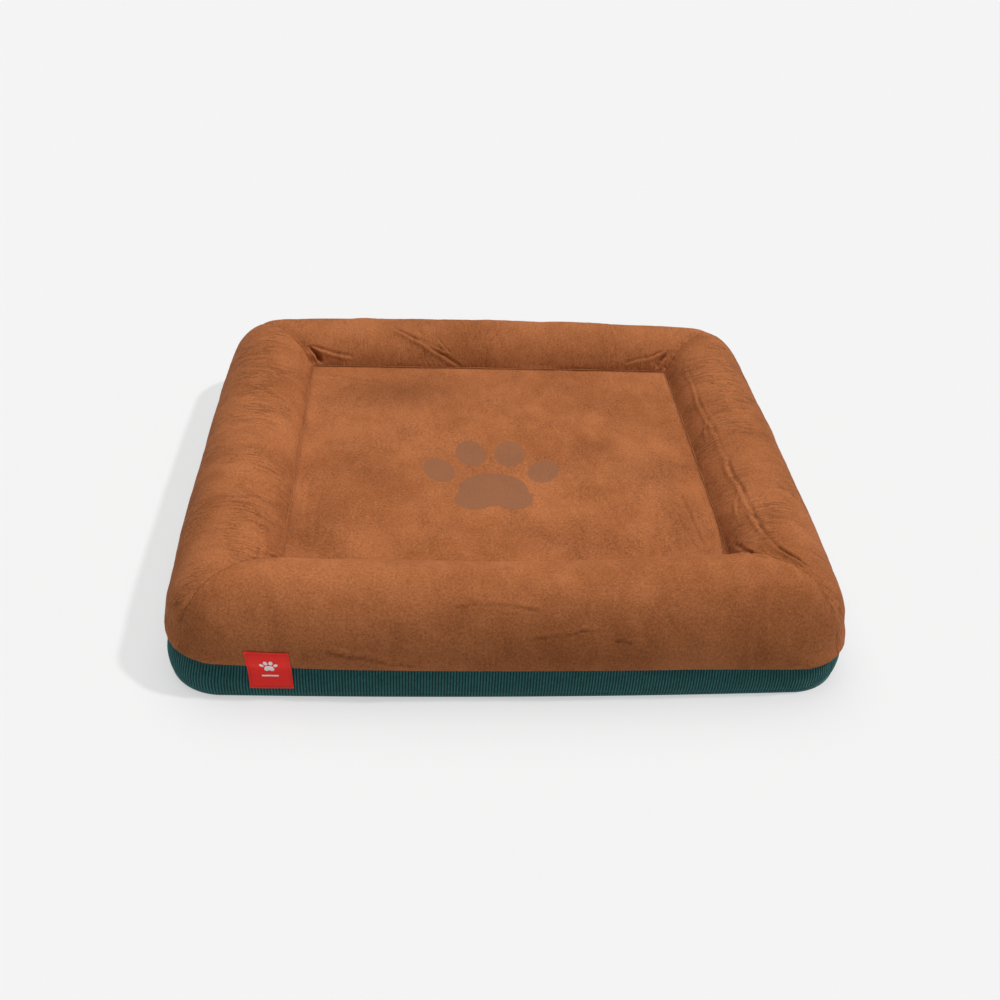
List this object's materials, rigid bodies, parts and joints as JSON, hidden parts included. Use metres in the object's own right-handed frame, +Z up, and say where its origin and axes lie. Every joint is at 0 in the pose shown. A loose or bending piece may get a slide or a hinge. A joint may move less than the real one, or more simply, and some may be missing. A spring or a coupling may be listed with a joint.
{
  "type": "pet cushion bed",
  "caption": "Low rectangular pet bed: a foam sleeping pad ringed by stuffed suede bolsters over a ribbed base band, with a zipped back wall.",
  "frame": {"origin": "on the floor, under the middle of the bed", "axes": "+X across the bed, towards its right side seen from the front; +Y from the front, where the label is, to the back, where the zip is; +Z up"},
  "size_m": [0.8, 0.7297, 0.128],
  "materials": {
    "suede": "short brushed nap, tan to rust",
    "corduroy": "fine vertical ribs, dark teal",
    "base_cloth": "plain weave with small grip dots",
    "liner": "coated, slightly glossy",
    "support_foam": "open-cell foam",
    "memory_foam": "dense slow-recovery foam",
    "fibre_fill": "hollow polyester fibre in a thin inner bag",
    "zip_tape": "woven tape, dark teal",
    "zip_coil": "nylon coil, dyed to match",
    "zip_metal": "gunmetal plated die casting",
    "label": null
  },
  "bodies": {
    "bed": {"bottom_panel": "base_cloth", "band_front": "corduroy", "band_right": "corduroy", "band_left": "corduroy", "band_back_upper": "corduroy", "band_back_lower": "corduroy", "sleep_panel": "suede", "memory_foam_insert": "memory_foam", "support_foam": "support_foam", "liner_cap": "liner", "liner_tray": "liner", "bolster_cover_front": "suede", "bolster_cover_right": "suede", "bolster_cover_back": "suede", "bolster_cover_left": "suede", "bolster_pad_front": "fibre_fill", "bolster_pad_right": "fibre_fill", "bolster_pad_back": "fibre_fill", "bolster_pad_left": "fibre_fill", "zip_tape_upper": "zip_tape", "zip_tape_lower": "zip_tape", "zip_chain_upper": "zip_coil", "zip_chain_lower": "zip_coil", "zip_stop_left": "zip_metal", "zip_stop_right": "zip_metal", "zip_end_patch_left": "corduroy", "zip_end_patch_right": "corduroy", "side_label": "label"},
    "zip_slider": {"slider_body": "zip_metal", "slider_back_plate": "zip_metal", "pull_pin": "zip_metal"},
    "zip_pull": {"pull_tab": "zip_metal"}
  },
  "joints": [
    {"name": "zip_slide", "type": "slide", "parent": "bed", "child": "zip_slider", "axis": [1, 0, 0], "range_m": [0, 0.584]},
    {"name": "pull_swing", "type": "hinge", "parent": "zip_slider", "child": "zip_pull", "pos_m": [-0.292, 0.3639, 0.022], "axis": [0, 0, 1], "range_deg": [0, 180]}
  ]
}
